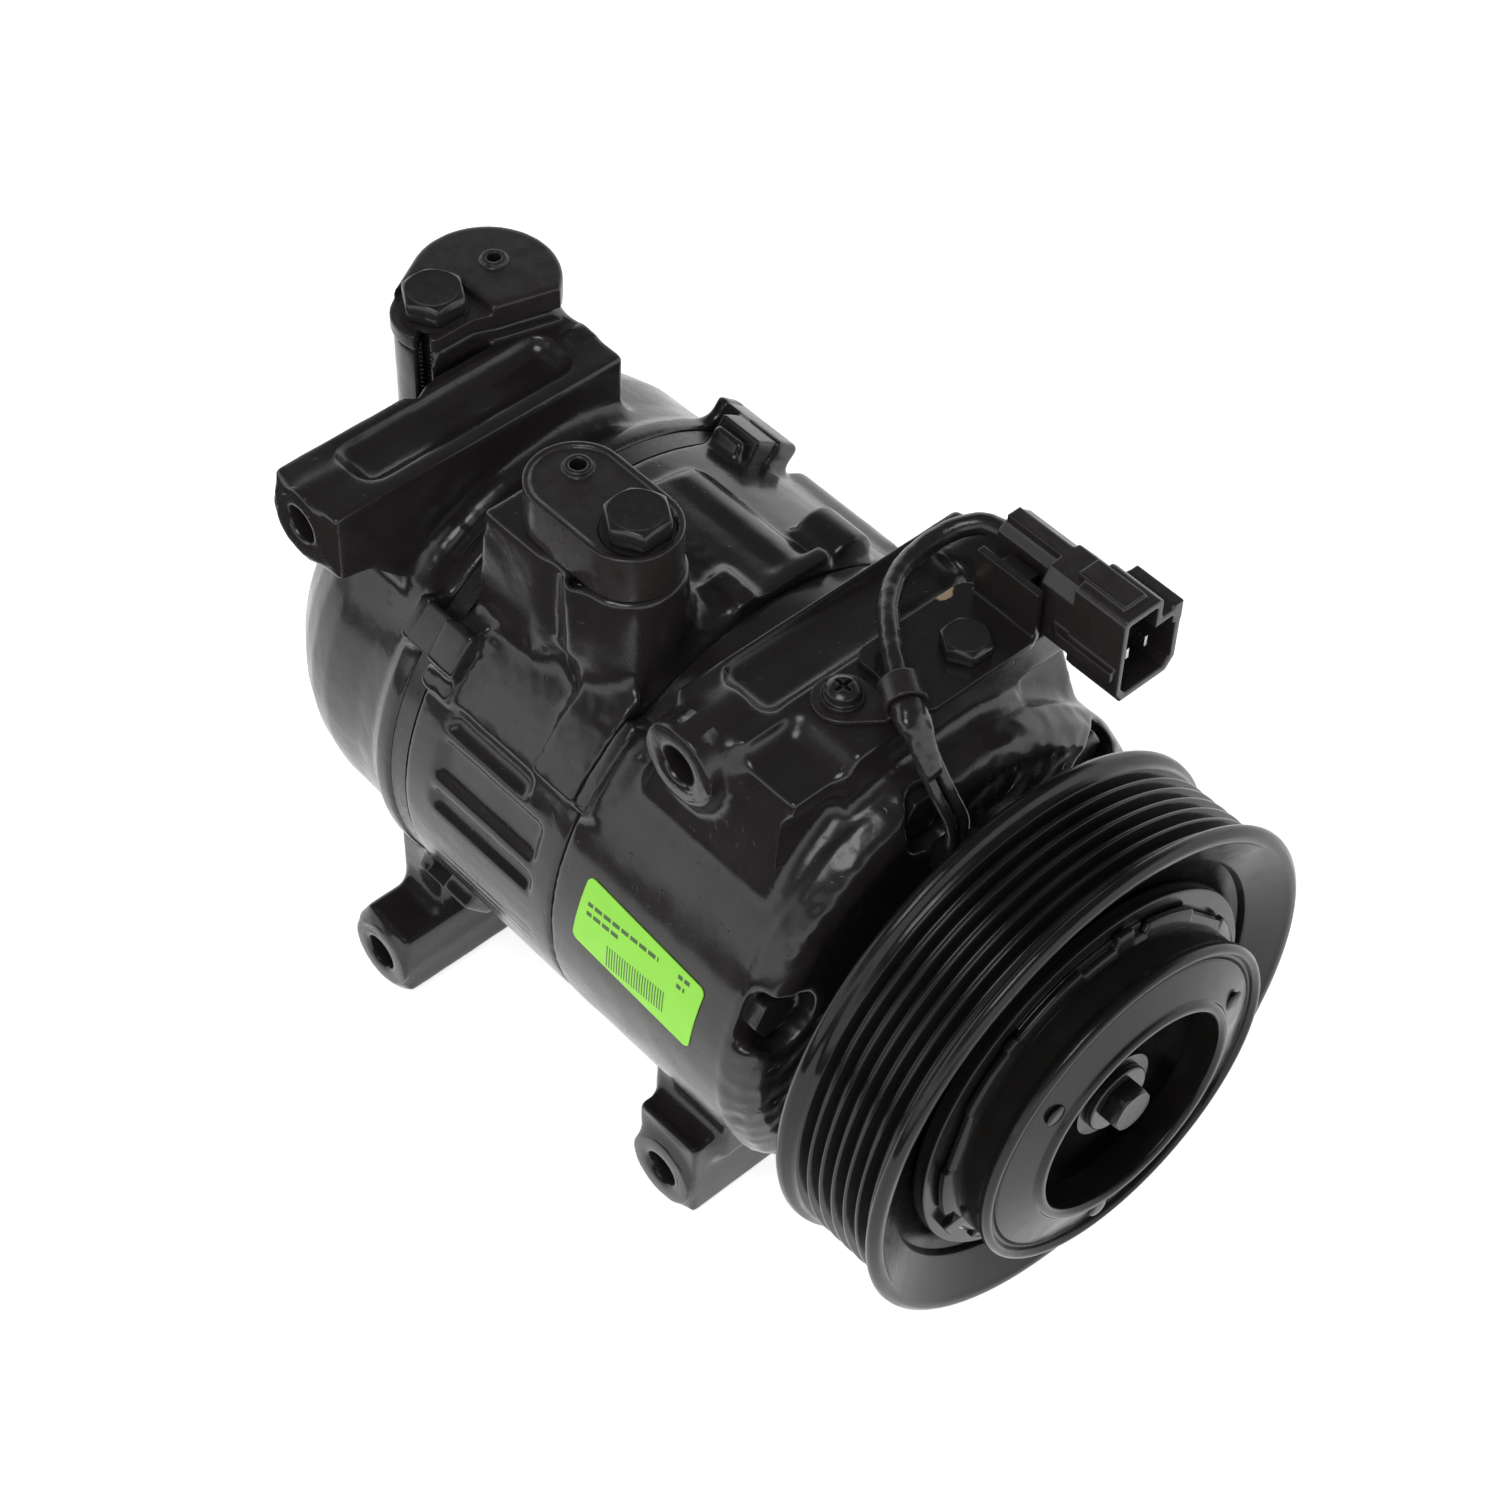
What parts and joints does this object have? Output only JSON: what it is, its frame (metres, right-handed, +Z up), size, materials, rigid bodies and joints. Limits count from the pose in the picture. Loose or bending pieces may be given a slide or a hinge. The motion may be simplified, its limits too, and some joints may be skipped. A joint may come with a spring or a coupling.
{
  "type": "automotive air-conditioning compressor",
  "caption": "Swash-plate refrigerant compressor with a ribbed belt pulley, electromagnetic clutch, capped port towers and side mounting bars.",
  "frame": {"origin": "on the shaft axis, midway across the belt grooves", "axes": "+Y along the shaft from the pulley to the rear head, +Z up toward the port towers, -X the side with the label"},
  "size_m": [0.1272, 0.2352, 0.1682],
  "materials": {
    "black_casting": "satin black paint over cast aluminium",
    "machined_aluminium": "machined",
    "black_steel": "gloss black paint over steel",
    "bolt_steel": "black coated steel",
    "bare_steel": "bare",
    "hard_steel": "ground",
    "copper": "enamelled copper wire in resin",
    "bronze": "plain",
    "black_rubber": "matte",
    "gasket": "coated metal gasket",
    "black_plastic": "fine grain",
    "cap_plastic": "smooth",
    "green_label": "printed film",
    "tin": "tinned"
  },
  "bodies": {
    "casing": {"front_housing": "black_casting", "cylinder_block": "black_casting", "rear_head": "black_casting", "housing_o_ring": "black_rubber", "block_gasket": "gasket", "suction_reeds": "bare_steel", "valve_plate": "bare_steel", "discharge_reeds": "bare_steel", "head_gasket": "gasket", "through_bolts": "bolt_steel", "front_port_cap": "cap_plastic", "rear_port_cap": "cap_plastic", "cap_bolts": "bolt_steel", "cap_washers": "bolt_steel", "cap_seals": "black_rubber", "control_valve": "bare_steel", "control_valve_seals": "black_rubber", "control_valve_clip": "bare_steel", "relief_valve": "bronze", "coil_shell": "black_steel", "coil_winding": "copper", "coil_ring": "bare_steel", "bearing_inner_race": "hard_steel", "front_shaft_bush": "bronze", "rear_shaft_bush": "bronze", "front_thrust_washer": "bronze", "rear_thrust_washer": "bronze", "pistons": "machined_aluminium", "piston_rings": "black_plastic", "shoes": "hard_steel", "shaft_seal": "black_rubber", "seal_clip": "bare_steel", "lead_bracket": "bare_steel", "bracket_bolt": "bolt_steel", "lead_clip": "black_plastic", "clip_screw": "bolt_steel", "connector_housing": "black_plastic", "connector_pins": "tin", "coil_lead": "black_rubber", "label": "green_label"},
    "pulley": {"pulley": "black_steel", "bearing_outer_race": "hard_steel", "bearing_ring": "bare_steel", "bearing_seals": "black_rubber"},
    "ball_set": {"bearing_balls": "hard_steel", "bearing_cages": "black_plastic"},
    "shaft": {"drive_shaft": "hard_steel", "hub_core": "black_steel", "hub_rubber": "black_rubber", "hub_shell": "black_steel", "hub_rivets": "black_steel", "hub_bolt": "bolt_steel", "hub_washer": "bolt_steel", "leaf_springs": "bare_steel", "lug_plate": "bare_steel", "swash_plate": "bare_steel", "return_spring": "hard_steel"},
    "armature": {"armature_plate": "black_steel"},
    "plunger": {"control_valve_plunger": "hard_steel"}
  },
  "joints": [
    {"name": "pulley_spin", "type": "hinge", "parent": "casing", "child": "pulley", "pos_m": [0, 0, 0], "axis": [0, 1, 0], "continuous": true},
    {"name": "ball_orbit", "type": "hinge", "parent": "casing", "child": "ball_set", "pos_m": [0, 0, 0], "axis": [0, 1, 0], "continuous": true},
    {"name": "shaft_spin", "type": "hinge", "parent": "casing", "child": "shaft", "pos_m": [0, 0, 0], "axis": [0, 1, 0], "continuous": true},
    {"name": "clutch_engage", "type": "slide", "parent": "shaft", "child": "armature", "axis": [0, 1, 0], "range_m": [0, 0.00045], "stiffness_N_per_m": 20000},
    {"name": "plunger_travel", "type": "slide", "parent": "casing", "child": "plunger", "axis": [0, 0, 1], "range_m": [0, 0.001], "stiffness_N_per_m": 2000}
  ],
  "couplings": [
    {"joint": "ball_orbit", "follows": "pulley_spin", "ratio": 0.568}
  ]
}
